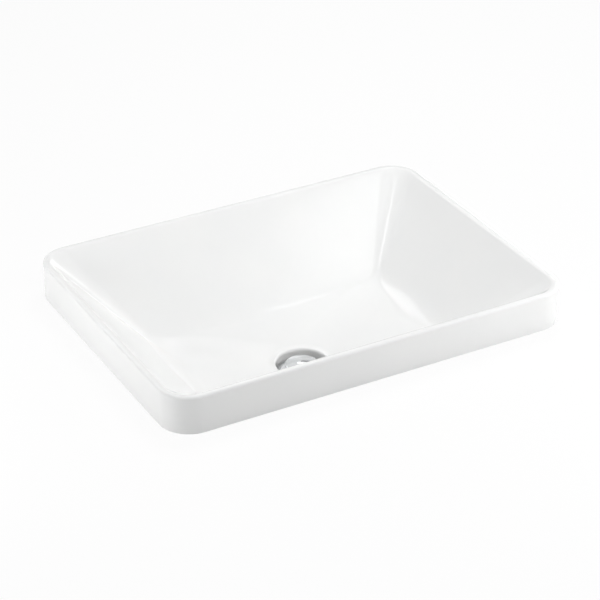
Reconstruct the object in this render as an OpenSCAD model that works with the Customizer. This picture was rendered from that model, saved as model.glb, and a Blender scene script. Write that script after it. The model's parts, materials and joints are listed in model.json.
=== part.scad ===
// Inset countertop basin with a push-to-close waste.
// Origin: centre of the plane of the rim's foot, which stands on the counter.
// +X along the basin's length, +Y to the back, +Z up. Millimetres.

/* [Rim and skirt] */
// Length of the rim, left to right
rim_length = 530; // [480:1:640]
// Depth of the rim, front to back
rim_depth = 390; // [350:1:460]
// Height of the rim above the counter
rim_height = 48; // [36:1:64]
// Corner radius of the rim, seen from above
corner_radius = 39; // [28:1:60]
// Width of the rim, from its outer face to its inner edge
rim_width = 8; // [7:0.5:14]
// Rounding of the rim's outer edge
outer_round = 3; // [1:0.5:4.5]
// Length of the soft turn from the rim's top into the bowl
inner_round = 3; // [1:0.5:4.5]
// Thickness of the skirt at its foot
skirt_wall = 11; // [8:0.5:14]

/* [Bowl] */
// Depth of the crease where the walls meet the floor, below the rim's top
crease_depth = 97; // [80:1:115]
// Length of the floor between its creases
floor_length = 326; // [280:1:370]
// Depth of the floor between its creases, front to back
floor_depth = 172; // [150:1:200]
// Corner radius of the floor
floor_corner = 8; // [4:1:20]
// Length of the soft turn from a wall into the floor
cove = 20; // [8:1:26]
// Thickness of the bowl's shell
shell = 12; // [9:0.5:15]

/* [Drain] */
// Distance of the drain in front of the basin's centre
drain_forward = 7.5; // [0:0.5:20]
// Depth of the lip of the drain's recess, below the rim's top
lip_depth = 126; // [118:1:140]
// Radius of the drain's recess
recess_radius = 32; // [31.5:0.5:36]
// Depth of the recess, from its lip to the seat of the waste
recess_depth = 17; // [14:0.5:20]
// Rounding of the recess's lip
lip_round = 5; // [2:0.5:7]
// Radius of the outlet hole below the seat
outlet_radius = 23; // [22:0.5:24]
// Thickness of the ceramic at the outlet
outlet_thick = 13; // [10:0.5:16]
// Radius of the boss round the outlet
boss_radius = 45; // [42:1:52]

/* [Waste body] */
// Radius of the flange
flange_radius = 31; // [29:0.5:31.4]
// Thickness of the flange
flange_thick = 3.5; // [3:0.25:4.5]
// Depth of the dish in the flange's top
dish = 2; // [1:0.25:2.5]
// Radius of the throat that the plug closes
throat_radius = 19.3; // [18.8:0.1:19.8]
// Height of the throat's straight wall
throat_height = 2.2; // [1.5:0.1:3]
// Height of the cone between the throat and the bore
throat_cone = 3.8; // [2:0.2:6]
// Radius of the bore
bore_radius = 17.5; // [17:0.1:18]
// Radius of the pipe thread over its crests
thread_radius = 20.955; // [20.9:0.005:21.2]
// Plain length of the shank below the ceramic, above the thread
thread_runout = 1; // [0.5:0.25:3]
// Radius of the plain shank above the thread
shank_radius = 20.4; // [20.2:0.1:20.8]
// Length of the body below the flange
body_length = 71.5; // [66:0.5:90]
// Height of the chamfer at the tail
tail_chamfer = 1; // [0.5:0.1:1.5]
// Width of the groove between the nut and the tail's thread
groove_width = 1.5; // [1:0.25:3]
// Depth of that groove
groove_deep = 0.7; // [0.4:0.1:1]
// Thickness of the arms that carry the cartridge
arm_thick = 4; // [3:0.5:5]
// Height of the arms
arm_height = 8; // [6:0.5:10]
// Number of arms
arm_count = 3; // [3:1:4]

/* [Washers and nuts] */
// Thickness of the washer under the flange
flange_washer_thick = 1.5; // [1:0.25:2]
// Radius of that washer
flange_washer_radius = 30; // [27:0.5:30.5]
// Thickness of the tapered washer under the basin
taper_thick = 9; // [7:0.5:12]
// Radius of the tapered washer at its top
taper_radius = 30; // [27:0.5:34]
// Height of its collar inside the outlet hole
taper_collar = 4; // [2:0.5:6]
// Thickness of the slip washer
slip_thick = 2; // [1:0.25:3]
// Thickness of the back nut
back_nut_thick = 9; // [7:0.5:11]
// Width of the back nut across its flats
back_nut_flats = 50; // [48:1:56]

/* [Cartridge] */
// Outer radius of the barrel, over its thread
barrel_radius = 8; // [7.8:0.1:8.5]
// Bore radius of the barrel
barrel_bore = 6.5; // [6.3:0.1:6.8]
// Length of the barrel
barrel_length = 40; // [38:0.5:44]
// Radius of the barrel's collar
collar_radius = 10.5; // [10:0.25:11]
// Thickness of the barrel's collar
collar_thick = 3; // [2:0.25:4]
// Radius of the hub that holds the barrel
hub_radius = 11.5; // [11:0.25:12.5]
// Height of the hub
hub_height = 12; // [9:0.5:14]
// Width of the lock nut across its flats
lock_nut_flats = 22; // [20:0.5:24]
// Thickness of the lock nut
lock_nut_thick = 5; // [4:0.5:6]
// Length of the guide bush inside the barrel
bush_length = 7; // [5:0.5:8]
// Thickness of the bush's rim
bush_rim = 1.5; // [1:0.25:2]
// Radius of the bush's rim
bush_rim_radius = 9; // [8.5:0.25:10]
// Length of the end cap inside the barrel
end_cap_inside = 3; // [2:0.5:4]
// Thickness of the end cap's rim
end_cap_rim = 2.5; // [1.5:0.25:3]
// Radius of the weep hole in the end cap
weep_radius = 1.5; // [1:0.25:2]

/* [Plug and plunger] */
// Travel of the plug between open and closed
travel = 9; // [7:0.5:9.5]
// Radius of the plug's cap
cap_radius = 21; // [20.5:0.25:22]
// Height of the cap's edge
cap_edge = 2.2; // [1.6:0.1:3]
// Rise of the cap's dome above its edge
dome_rise = 3.2; // [2:0.1:4.5]
// Height of the cap's bottom above the flange's dish when closed
cap_above = 1; // [0.7:0.1:2]
// Radius of the socket under the cap
socket_radius = 5.5; // [5.2:0.1:6]
// Depth of the hollow under the cap
cap_hollow = 1.4; // [1:0.1:1.6]
// Thickness of the plug's seal
seal_thick = 2.5; // [2:0.1:3]
// Taper of the seal's edge
seal_taper = 0.8; // [0.4:0.1:1.2]
// Thickness of the retainer that clamps the seal
retainer_thick = 2; // [1.5:0.25:2.5]
// Radius of the retainer
retainer_radius = 12.5; // [10:0.5:15]
// Thickness of the nut under the retainer
stem_nut_thick = 4; // [3:0.25:4]
// Width of that nut across its flats
stem_nut_flats = 13; // [13:0.5:15]
// Radius of the plunger's stem
stem_radius = 4; // [3.8:0.05:4.2]
// Height of the plunger's head
head_height = 5; // [4:0.5:6]
// Radius of the spigot that the cam rotor turns on
spigot_radius = 3; // [2.5:0.1:3.2]
// Length of the spigot below the rotor
spigot_past = 1; // [0.5:0.25:3]
// Height of the cam rotor
rotor_height = 4.4; // [4:0.2:6]
// Height of the rotor's teeth
tooth_height = 1.6; // [1:0.1:2]
// Number of the rotor's teeth
tooth_count = 8; // [6:2:8]
// Radius of the spring's wire
wire_radius = 0.5; // [0.4:0.05:0.6]
// Radius of the spring's coil, to the middle of the wire
coil_radius = 4.9; // [4.7:0.1:5.1]
// Number of turns of the spring
coil_turns = 8; // [6:1:9]

/* [Clearances] */
// Clearance of a thread or a seated ring round what it holds
thread_clear = 0.09; // [0.05:0.01:0.1]
// Running clearance of a sliding or turning piece
run_clear = 0.05; // [0.02:0.01:0.1]
// Free space between pieces that move past each other
free_clear = 0.3; // [0.2:0.05:0.5]

/* [Hidden] */
$fn = 96;

// Steps round a corner of the basin, along a soft turn, down a wall and across the floor
corner_steps = 10;
turn_steps = 5;
wall_steps = 4;
floor_steps = 5;
// The floor's rings start at this many times the cove's run from the crease
floor_start = 1.5;
// Facets round the spring's wire, and rings in one of its turns
wire_sides = 6;
turn_rings = 12;
// A cut runs this far past the surface that it opens
past = 1;
// Surfaces that would just touch overlap by this, and no straight side is shorter
overlap = 0.1;

// Heights of the basin
lip_z = rim_height - lip_depth;
crease_z = rim_height - crease_depth;
seat_z = lip_z - recess_depth;
outlet_z = seat_z - outlet_thick;

// Level ring of the floor round the recess's lip
lip_level = 2;
// The underside runs into the boss by this much
boss_depth = 4;
// Thickness of the floor at its crease, as a share of the shell's
floor_share_of_shell = 0.9;

// Heights of the waste
flange_under_z = seat_z + flange_washer_thick;
flange_z = flange_under_z + flange_thick;
dish_z = flange_z - dish;
throat_z = dish_z - throat_height;
bore_top_z = throat_z - throat_cone;
tail_z = flange_under_z - body_length;
taper_z = outlet_z - taper_thick;
slip_z = taper_z - slip_thick;
back_nut_z = slip_z - back_nut_thick;
groove_z = back_nut_z - free_clear;
thread_top_z = outlet_z - thread_runout;

// Heights of the plug when open, from its closed place in the dish
cap_z = dish_z + cap_above + travel;
seal_z = cap_z - seal_thick;
retainer_z = seal_z - retainer_thick;
stem_nut_z = retainer_z - stem_nut_thick;
stem_top_z = cap_z + cap_hollow;

// Heights of the cartridge: the nut under the plug stops just above the bush
nut_stop = 2;
bush_top_z = stem_nut_z - travel - nut_stop;
barrel_z = bush_top_z - bush_rim;
hub_z = barrel_z - collar_thick;
hub_under_z = hub_z - hub_height;
bush_z = barrel_z - bush_length;
barrel_end_z = barrel_z - barrel_length;
spring_seat_z = barrel_end_z + end_cap_inside;

// Heights of the plunger: its head stops under the bush
head_z = bush_z - free_clear;
head_under_z = head_z - head_height;
rotor_z = head_under_z - free_clear;
rotor_under_z = rotor_z - rotor_height;
spigot_z = rotor_under_z - spigot_past;
spring_top_z = rotor_under_z - free_clear;

// Radii that follow from a fit
barrel_hole = barrel_radius + thread_clear;
slide_radius = barrel_bore - run_clear;
socket_hole = stem_radius + thread_clear;
socket_ring = socket_radius + thread_clear;
thread_ring = thread_radius + thread_clear;
seal_radius = throat_radius - free_clear;

// Run of the bowl's walls towards the middle, and the level thickness of their sloping shell
wall_run_x = rim_length / 2 - rim_width - floor_length / 2;
wall_run_y = rim_depth / 2 - rim_width - floor_depth / 2;
shell_x = shell / sin(atan(crease_depth / wall_run_x));
shell_y = shell / sin(atan(crease_depth / wall_run_y));

// The channel under the rim closes where the shell meets the skirt's inner face
apex_share = max((skirt_wall - rim_width + shell_x) / wall_run_x,
    (skirt_wall - rim_width + shell_y) / wall_run_y);
apex_z = rim_height - apex_share * crease_depth;
apex_round = 12;

// Middle of the channel at the foot, as half its length and half its depth
foot_share = rim_height / crease_depth;
channel_middle = [(rim_length - skirt_wall - rim_width - foot_share * wall_run_x + shell_x) / 2,
    (rim_depth - skirt_wall - rim_width - foot_share * wall_run_y + shell_y) / 2];

// A ring of the basin's surface is [half length, half depth, corner radius, y of its centre, z].
// The rim's outline drawn in by e
function inset(e, z) = [rim_length / 2 - e, rim_depth / 2 - e, corner_radius - e, 0, z];

// The bowl's wall at height z, moved outwards by ex along the length and ey along the depth
function wall_ring(z, ex, ey) =
    let (share = (rim_height - z) / crease_depth)
    let (top_radius = corner_radius - rim_width)
    [rim_length / 2 - rim_width - share * wall_run_x + ex,
     rim_depth / 2 - rim_width - share * wall_run_y + ey,
     top_radius - share * (top_radius - floor_corner) + min(ex, ey), 0, z];

// A circle round the drain
function drain_ring(r, z) = [r, r, r - overlap, -drain_forward, z];

// The ring at a distance from ring p on the way to ring q, measured in the section along the length
function toward(p, q, distance) = p + (q - p) * distance / norm([q[0] - p[0], q[4] - p[4]]);

// Rings between p and q, without p and q themselves
function between(p, q, steps) = [for (i = [1 : steps - 1]) p + (q - p) * i / steps];

// A ring of the floor at a share of the way from its crease to the circle round the drain.
// Its corners round off with the square root of the share, so the floor is one smooth dish.
function dish_ring(crease, circle, share) =
    let (v = crease + (circle - crease) * share)
    [v[0], v[1], crease[2] + (v[1] - overlap - crease[2]) * sqrt(share), v[3], v[4]];

// Rings of the floor between two shares
function dish_rings(crease, circle, from, to, steps) =
    [for (i = [0 : steps]) dish_ring(crease, circle, from + (to - from) * i / steps)];

// Share of the floor's run that a distance from the crease takes, in the section along the length
function floor_share(crease, circle, distance) =
    distance / norm([circle[0] - crease[0], circle[4] - crease[4]]);

// Rings of a soft turn from p to q, drawn towards the ring c at the corner
function turn(p, c, q, steps) =
    [for (i = [0 : steps]) let (t = i / steps) (1 - t) * (1 - t) * p + 2 * t * (1 - t) * c + t * t * q];

// Rings of the inside of the bowl, from the drain up to the rim's flat top
function bowl_rings() =
    let (lip = drain_ring(recess_radius + lip_round + lip_level, lip_z))
    let (crease = wall_ring(crease_z, 0, 0))
    let (edge = wall_ring(rim_height, 0, 0))
    let (share = floor_share(crease, lip, cove))
    let (wall_start = toward(crease, edge, cove))
    let (wall_end = toward(edge, crease, inner_round))
    concat(dish_rings(crease, lip, 1, share * floor_start, floor_steps),
        turn(dish_ring(crease, lip, share), crease, wall_start, turn_steps),
        between(wall_start, wall_end, wall_steps),
        turn(wall_end, edge, inset(rim_width - inner_round, rim_height), turn_steps));

// Rings of the rim's rounded outer edge and of the skirt, past the foot
function skirt_rings() =
    concat([for (i = [0 : turn_steps]) let (t = 90 * i / turn_steps)
        inset(outer_round * (1 - sin(t)), rim_height - outer_round * (1 - cos(t)))],
        [inset(0, -past), inset(skirt_wall, -past)]);

// Rings of the underside, from the skirt's inner face to the boss
function under_rings() =
    let (crease = wall_ring(crease_z - floor_share_of_shell * shell, shell_x, shell_y))
    let (boss = drain_ring(boss_radius - boss_depth, lip_z - shell))
    let (wall_start = wall_ring(apex_z - apex_round, shell_x, shell_y))
    let (under_cove = cove + shell / 2)
    let (wall_end = toward(crease, wall_start, under_cove))
    let (share = floor_share(crease, boss, under_cove))
    concat(turn(inset(skirt_wall, apex_z - apex_round), inset(skirt_wall, apex_z), wall_start, turn_steps),
        between(wall_start, wall_end, wall_steps),
        turn(wall_end, crease, dish_ring(crease, boss, share), turn_steps),
        dish_rings(crease, boss, share * floor_start, 1, floor_steps));

// Points of one ring, counter-clockwise from above
function ring_points(v) =
    [for (corner = [0 : 3]) for (i = [0 : corner_steps])
        let (t = 90 * corner + 90 * i / corner_steps)
        let (side_x = (corner == 0 || corner == 3) ? 1 : -1)
        let (side_y = corner < 2 ? 1 : -1)
        [side_x * (v[0] - v[2]) + v[2] * cos(t), v[3] + side_y * (v[1] - v[2]) + v[2] * sin(t), v[4]]];

// Closed surface through rings that start and end at the drain, each end closed by a fan
module ring_surface(rings) {
    count = 4 * (corner_steps + 1);
    last = len(rings) - 1;
    body = [for (v = rings) each ring_points(v)];
    first_centre = [0, rings[0][3], rings[0][4]];
    last_centre = [0, rings[last][3], rings[last][4]];
    sides = [for (i = [0 : last - 1]) for (j = [0 : count - 1])
        let (k = (j + 1) % count)
        let (a = i * count + j)
        let (b = i * count + k)
        each [[a, b, b + count], [a, b + count, a + count]]];
    fans = [for (j = [0 : count - 1])
        let (k = (j + 1) % count)
        each [[len(body), k, j], [len(body) + 1, last * count + j, last * count + k]]];
    polyhedron(points = concat(body, [first_centre, last_centre]), faces = concat(sides, fans));
}

// Points of an arc in the section, angles in degrees
function arc(centre, r, from, to, steps) =
    [for (i = [0 : steps]) let (t = from + (to - from) * i / steps) centre + r * [cos(t), sin(t)]];

// Radius of the corners of a hexagon from its width across flats
function hex_radius(flats) = flats / 2 / cos(30);

// A piece turned round the drain's axis from its section
module turned(section) {
    translate([0, -drain_forward, 0]) rotate_extrude() polygon(section);
}

// A plain ring round the drain's axis
module ring(inner, outer, low, high) {
    turned([[inner, low], [outer, low], [outer, high], [inner, high]]);
}

// A hexagon nut round the drain's axis, with its corners broken at both ends
module hex_nut(flats, hole, low, high) {
    corner = hex_radius(flats);
    broken = corner - flats / 2;
    difference() {
        intersection() {
            translate([0, -drain_forward, low]) cylinder(h = high - low, r = corner, $fn = 6);
            turned([[0, low], [flats / 2, low], [corner, low + broken / 2], [corner, high - broken / 2],
                [flats / 2, high], [0, high]]);
        }
        translate([0, -drain_forward, low - past]) cylinder(h = high - low + 2 * past, r = hole);
    }
}

// Glazed ceramic bowl, rim and skirt in one piece, with the outlet's boss and recess
module basin() {
    color("white") difference() {
        union() {
            ring_surface(concat(bowl_rings(), skirt_rings(), under_rings()));
            translate([0, -drain_forward, outlet_z])
                cylinder(h = lip_z - shell / 2 - outlet_z, r = boss_radius);
        }
        turned(concat([[0, seat_z], [recess_radius, seat_z]],
            arc([recess_radius + lip_round, lip_z - lip_round + overlap], lip_round, 180, 90, turn_steps),
            [[recess_radius + lip_round, rim_height], [0, rim_height]]));
        translate([0, -drain_forward, outlet_z - past])
            cylinder(h = outlet_thick + 2 * past, r = outlet_radius);
        translate([0, 0, -2 * past]) linear_extrude(2 * past) difference() {
            square([rim_length + 2 * past, rim_depth + 2 * past], center = true);
            square(2 * channel_middle, center = true);
        }
    }
}

// Chrome-plated brass body: flange, shank, pipe thread and the hub on its arms
module waste_body() {
    edge = 1;
    flat = 3;
    dish_margin = 2;
    throat_edge = 0.5;
    arm_z = (hub_z + hub_under_z - arm_height) / 2;
    color("silver") difference() {
        union() {
            turned(concat([[bore_radius, tail_z],
                [thread_radius - tail_chamfer, tail_z],
                [thread_radius, tail_z + tail_chamfer],
                [thread_radius, groove_z - groove_width],
                [thread_radius - groove_deep, groove_z - groove_width],
                [thread_radius - groove_deep, groove_z],
                [thread_radius, groove_z],
                [thread_radius, thread_top_z],
                [shank_radius, thread_top_z + thread_radius - shank_radius],
                [shank_radius, flange_under_z],
                [flange_radius, flange_under_z]],
                arc([flange_radius - edge, flange_z - edge], edge, 0, 90, turn_steps),
                [[flange_radius - edge - flat, flange_z],
                [throat_radius + dish_margin, dish_z + throat_edge / 2],
                [throat_radius + throat_edge, dish_z],
                [throat_radius, dish_z - throat_edge],
                [throat_radius, throat_z],
                [bore_radius, bore_top_z]]));
            translate([0, -drain_forward, hub_under_z]) cylinder(h = hub_height, r = hub_radius);
            for (i = [0 : arm_count - 1])
                translate([0, -drain_forward, arm_z]) rotate(90 + 360 * i / arm_count)
                    translate([hub_radius - past, -arm_thick / 2, 0])
                        cube([bore_radius - hub_radius + 2 * past, arm_thick, arm_height]);
        }
        translate([0, -drain_forward, hub_under_z - past])
            cylinder(h = hub_height + 2 * past, r = barrel_hole);
    }
}

// Soft washer between the flange and its seat in the ceramic
module flange_washer() {
    color("whitesmoke") ring(shank_radius + free_clear, flange_washer_radius, seat_z, flange_under_z);
}

// Rubber washer under the basin, with a collar that centres the shank in the outlet
module tapered_washer() {
    color("dimgray") turned([[thread_ring, taper_z],
        [taper_radius - taper_thick / 3, taper_z],
        [taper_radius, outlet_z - taper_thick / 2],
        [taper_radius, outlet_z],
        [outlet_radius - free_clear, outlet_z],
        [outlet_radius - 3 * free_clear, outlet_z + taper_collar],
        [thread_ring, outlet_z + taper_collar]]);
}

// Plastic washer that lets the nut turn without dragging the rubber
module slip_washer() {
    color("gainsboro") ring(thread_ring + free_clear, taper_radius, slip_z, taper_z);
}

// Hexagon nut that clamps the waste to the basin
module back_nut() {
    color("goldenrod") hex_nut(back_nut_flats, thread_ring, back_nut_z, slip_z);
}

// Barrel of the push cartridge, held in the hub by its collar and lock nut
module cartridge_barrel() {
    broken = 0.7;
    color("goldenrod") turned([[barrel_bore, barrel_end_z],
        [barrel_radius - broken, barrel_end_z],
        [barrel_radius, barrel_end_z + broken],
        [barrel_radius, hub_z],
        [collar_radius, hub_z],
        [collar_radius, barrel_z],
        [barrel_bore, barrel_z]]);
}

// Plastic bush that guides the stem at the top of the barrel
module barrel_bush() {
    color("white") turned([[stem_radius + run_clear, bush_z],
        [slide_radius, bush_z],
        [slide_radius, barrel_z],
        [bush_rim_radius, barrel_z],
        [bush_rim_radius, bush_top_z],
        [stem_radius + run_clear, bush_top_z]]);
}

// Plug that closes the bottom of the barrel and carries the spring
module barrel_end_cap() {
    color("white") turned([[weep_radius, barrel_end_z - end_cap_rim],
        [barrel_radius, barrel_end_z - end_cap_rim],
        [barrel_radius, barrel_end_z],
        [slide_radius, barrel_end_z],
        [slide_radius, spring_seat_z],
        [weep_radius, spring_seat_z]]);
}

// Thin nut that locks the barrel under the hub
module cartridge_lock_nut() {
    color("goldenrod") hex_nut(lock_nut_flats, barrel_hole, hub_under_z - lock_nut_thick, hub_under_z);
}

// Points round the spring's wire at one place of its coil
function wire_points(turns, z) =
    [for (i = [0 : wire_sides - 1])
        let (t = 360 * i / wire_sides)
        let (r = coil_radius + wire_radius * cos(t))
        [r * cos(360 * turns), r * sin(360 * turns), z + wire_radius * sin(t)]];

// Compression spring that lifts the plunger
module return_spring() {
    rings = coil_turns * turn_rings;
    low = spring_seat_z + wire_radius;
    high = spring_top_z - wire_radius;
    points = [for (i = [0 : rings]) each wire_points(i / turn_rings, low + (high - low) * i / rings)];
    sides = [for (i = [0 : rings - 1]) for (j = [0 : wire_sides - 1])
        let (k = (j + 1) % wire_sides)
        let (a = i * wire_sides + j)
        let (b = i * wire_sides + k)
        each [[a, b, b + wire_sides], [a, b + wire_sides, a + wire_sides]]];
    ends = [for (j = [1 : wire_sides - 2])
        each [[0, j + 1, j], [rings * wire_sides, rings * wire_sides + j, rings * wire_sides + j + 1]]];
    color("gray") translate([0, -drain_forward, 0])
        polyhedron(points = points, faces = concat(sides, ends));
}

// Stem, head and spigot in one turned piece
module plunger() {
    color("goldenrod") turned([[0, spigot_z],
        [spigot_radius, spigot_z],
        [spigot_radius, head_under_z],
        [slide_radius, head_under_z],
        [slide_radius, head_z],
        [stem_radius, head_z],
        [stem_radius, stem_top_z],
        [0, stem_top_z]]);
}

// Rotor that turns one step at each push, with ramped teeth on its top
module cam_rotor() {
    ramp = 20;
    slot = PI * slide_radius / tooth_count;
    color("ivory") difference() {
        ring(spigot_radius + run_clear, slide_radius, rotor_under_z, rotor_z);
        for (i = [0 : tooth_count - 1])
            translate([0, -drain_forward, rotor_z - tooth_height]) rotate(360 * i / tooth_count)
                rotate([ramp, 0, 0]) cube([2 * slide_radius, slot, 3 * tooth_height]);
    }
}

// Domed cap with the socket that the stem screws into
module plug_cap() {
    broken = 0.6;
    edge_z = cap_z + cap_edge;
    sphere_radius = (pow(cap_radius - broken, 2) + pow(dome_rise, 2)) / (2 * dome_rise);
    half_angle = asin((cap_radius - broken) / sphere_radius);
    color("silver") turned(concat([[cap_radius - broken, cap_z],
        [cap_radius, cap_z + broken],
        [cap_radius, edge_z - broken]],
        arc([0, edge_z + dome_rise - sphere_radius], sphere_radius, 90 - half_angle, 90, 2 * turn_steps),
        [[0, stem_top_z],
        [socket_hole, stem_top_z],
        [socket_hole, retainer_z + free_clear],
        [socket_radius, retainer_z + free_clear],
        [socket_radius, cap_z + cap_hollow],
        [retainer_radius, cap_z + cap_hollow],
        [retainer_radius, cap_z]]));
}

// Rubber ring under the cap, which closes the throat
module plug_seal() {
    color("dimgray") turned([[socket_ring, seal_z],
        [seal_radius - seal_taper, seal_z],
        [seal_radius, cap_z],
        [socket_ring, cap_z]]);
}

// Plastic disc that clamps the seal to the cap
module seal_retainer() {
    color("white") ring(socket_ring, retainer_radius, retainer_z, seal_z);
}

// Nut on the stem that locks the plug at its height
module stem_lock_nut() {
    color("goldenrod") hex_nut(stem_nut_flats, socket_hole, stem_nut_z, retainer_z);
}

basin();
waste_body();
flange_washer();
tapered_washer();
slip_washer();
back_nut();
cartridge_barrel();
barrel_bush();
barrel_end_cap();
cartridge_lock_nut();
return_spring();
plunger();
cam_rotor();
plug_cap();
plug_seal();
seal_retainer();
stem_lock_nut();
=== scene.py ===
import json
import math

import bpy
import numpy as np
from mathutils import Matrix

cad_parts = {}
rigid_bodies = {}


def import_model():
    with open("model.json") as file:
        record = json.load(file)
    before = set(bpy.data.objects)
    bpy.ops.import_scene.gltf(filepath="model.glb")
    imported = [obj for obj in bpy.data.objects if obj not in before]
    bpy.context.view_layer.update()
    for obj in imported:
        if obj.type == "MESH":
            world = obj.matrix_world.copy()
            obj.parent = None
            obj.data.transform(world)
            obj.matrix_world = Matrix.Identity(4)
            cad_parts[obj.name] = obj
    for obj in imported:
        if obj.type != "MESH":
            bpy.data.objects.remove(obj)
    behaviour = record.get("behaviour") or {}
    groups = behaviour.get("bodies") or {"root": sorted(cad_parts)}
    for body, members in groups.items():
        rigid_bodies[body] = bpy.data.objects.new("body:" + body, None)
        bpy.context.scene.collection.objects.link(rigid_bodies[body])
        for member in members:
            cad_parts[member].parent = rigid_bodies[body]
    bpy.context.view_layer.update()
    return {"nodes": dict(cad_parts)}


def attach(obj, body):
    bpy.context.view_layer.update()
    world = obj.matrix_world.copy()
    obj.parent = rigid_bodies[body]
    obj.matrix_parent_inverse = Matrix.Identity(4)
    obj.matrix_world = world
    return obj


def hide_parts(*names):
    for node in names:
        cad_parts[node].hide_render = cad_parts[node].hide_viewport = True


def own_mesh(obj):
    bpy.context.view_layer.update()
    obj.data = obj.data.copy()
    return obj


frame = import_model()
print("Frame loaded:", len(frame["nodes"]), "nodes")

# Sizes are in millimetres and become metres when a mesh is made.
# Z is 0 where the rim's foot stands on the counter, and Y is 0 in the middle of the rim.
mm = 0.001


# Small tools

def toLinear(hexText):
    # an sRGB hex colour as the linear colour that a socket takes
    parts = np.array([int(hexText[i:i + 2], 16) for i in (1, 3, 5)]) / 255
    linear = np.where(parts <= 0.04045, parts / 12.92, ((parts + 0.055) / 1.055) ** 2.4)
    return (*linear.tolist(), 1.0)


def smoothStep(x):
    # 3x^2 - 2x^3 between 0 and 1
    x = np.clip(x, 0, 1)
    return x * x * (3 - 2 * x)


def addNode(tree, kind, settings=None, **links):
    # one node with its settings; a link is written inputName=(node, output)
    node = tree.nodes.new(kind)
    for key, value in (settings or {}).items():
        if key in node.inputs:
            node.inputs[key].default_value = value
        else:
            setattr(node, key, value)
    for key, (source, output) in links.items():
        tree.links.new(source.outputs[output], node.inputs[key.replace("_", " ")])
    return node


# Materials

def newMaterial(name, metallic=0.0, roughness=0.5):
    material = bpy.data.materials.new(name)
    material.use_nodes = True
    tree = material.node_tree
    tree.nodes.clear()
    output = tree.nodes.new("ShaderNodeOutputMaterial")
    shader = addNode(tree, "ShaderNodeBsdfPrincipled",
                     {"Metallic": metallic, "Roughness": roughness})
    tree.links.new(shader.outputs["BSDF"], output.inputs["Surface"])
    place = addNode(tree, "ShaderNodeTexCoord")
    return material, tree, shader, (place, "Object")


def tint(tree, shader, share, dark, light):
    # the colour runs from one shade of the finish to another with a pattern; sockets 6 and 7 take
    # the two shades, and output 2 gives the colour between them
    mix = addNode(tree, "ShaderNodeMix", {"data_type": "RGBA"})
    tree.links.new(share[0].outputs[share[1]], mix.inputs["Factor"])
    mix.inputs[6].default_value = toLinear(dark)
    mix.inputs[7].default_value = toLinear(light)
    tree.links.new(mix.outputs[2], shader.inputs["Base Color"])


def raiseSurface(tree, shader, height, depth):
    # the surface follows a pattern to a depth in millimetres
    bump = addNode(tree, "ShaderNodeBump", {"Strength": 1.0, "Distance": depth * mm}, Height=height)
    tree.links.new(bump.outputs["Normal"], shader.inputs["Normal"])


def noise(tree, place, size, detail=2.0):
    # soft patches of a size in millimetres
    settings = {"Scale": 1 / (size * mm), "Detail": detail}
    return addNode(tree, "ShaderNodeTexNoise", settings, Vector=place), "Fac"


def varyRoughness(tree, shader, share, low, high):
    spread = addNode(tree, "ShaderNodeMapRange", {"To Min": low, "To Max": high}, Value=share)
    tree.links.new(spread.outputs["Result"], shader.inputs["Roughness"])


def latheMarks(tree, place, width):
    # noise over the distance from the drain's axis and the height, so that it runs round as the
    # marks of a lathe do: sqrt(x^2 + (y - centre)^2) and z
    offset = addNode(tree, "ShaderNodeVectorMath", {"operation": "SUBTRACT"})
    tree.links.new(place[0].outputs[place[1]], offset.inputs[0])
    offset.inputs[1].default_value = (0, drain["y"] * mm, 0)
    apart = addNode(tree, "ShaderNodeSeparateXYZ", Vector=(offset, "Vector"))
    level = addNode(tree, "ShaderNodeCombineXYZ", X=(apart, "X"), Y=(apart, "Y"))
    distance = addNode(tree, "ShaderNodeVectorMath", {"operation": "LENGTH"})
    tree.links.new(level.outputs["Vector"], distance.inputs[0])
    section = addNode(tree, "ShaderNodeCombineXYZ", X=(distance, "Value"), Z=(apart, "Z"))
    return noise(tree, (section, "Vector"), width, 1.0)


def glazedChina():
    # vitreous china under a fired, transparent glaze: a white body under a glossy skin that has a
    # faint orange peel and pools a trifle cooler here and there
    look = {"deep": "#f3f4f4", "light": "#f7f7f6", "pool": 70, "roughness": 0.09, "peelWidth": 9,
            "peelHeight": 0.004, "glazeIndex": 1.52}
    material, tree, shader, place = newMaterial("glazed_vitreous_china",
                                                roughness=look["roughness"])
    shader.inputs["IOR"].default_value = look["glazeIndex"]
    tint(tree, shader, noise(tree, place, look["pool"]), look["deep"], look["light"])
    raiseSurface(tree, shader, noise(tree, place, look["peelWidth"], 1.0), look["peelHeight"])
    return material


def bareChina():
    # the foot, wiped free of glaze before the firing: matt, warmer and finely grained
    look = {"dark": "#ddd6c9", "light": "#ebe6dc", "roughness": 0.75, "grain": 0.8, "depth": 0.06}
    material, tree, shader, place = newMaterial("bare_fired_china", roughness=look["roughness"])
    grain = noise(tree, place, look["grain"], 4.0)
    tint(tree, shader, grain, look["dark"], look["light"])
    raiseSurface(tree, shader, grain, look["depth"])
    return material


def chromePlate():
    # chromium plated on polished brass: a bright, slightly cool mirror over faint polishing waves
    look = {"dark": "#cfd1d3", "light": "#dadbdc", "cloud": 14, "wave": 7, "waveHeight": 0.0015,
            "smooth": 0.045, "dull": 0.085}
    material, tree, shader, place = newMaterial("chrome_plated_brass", metallic=1.0)
    cloud = noise(tree, place, look["cloud"])
    tint(tree, shader, cloud, look["dark"], look["light"])
    varyRoughness(tree, shader, cloud, look["smooth"], look["dull"])
    raiseSurface(tree, shader, noise(tree, place, look["wave"], 1.0), look["waveHeight"])
    return material


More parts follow.
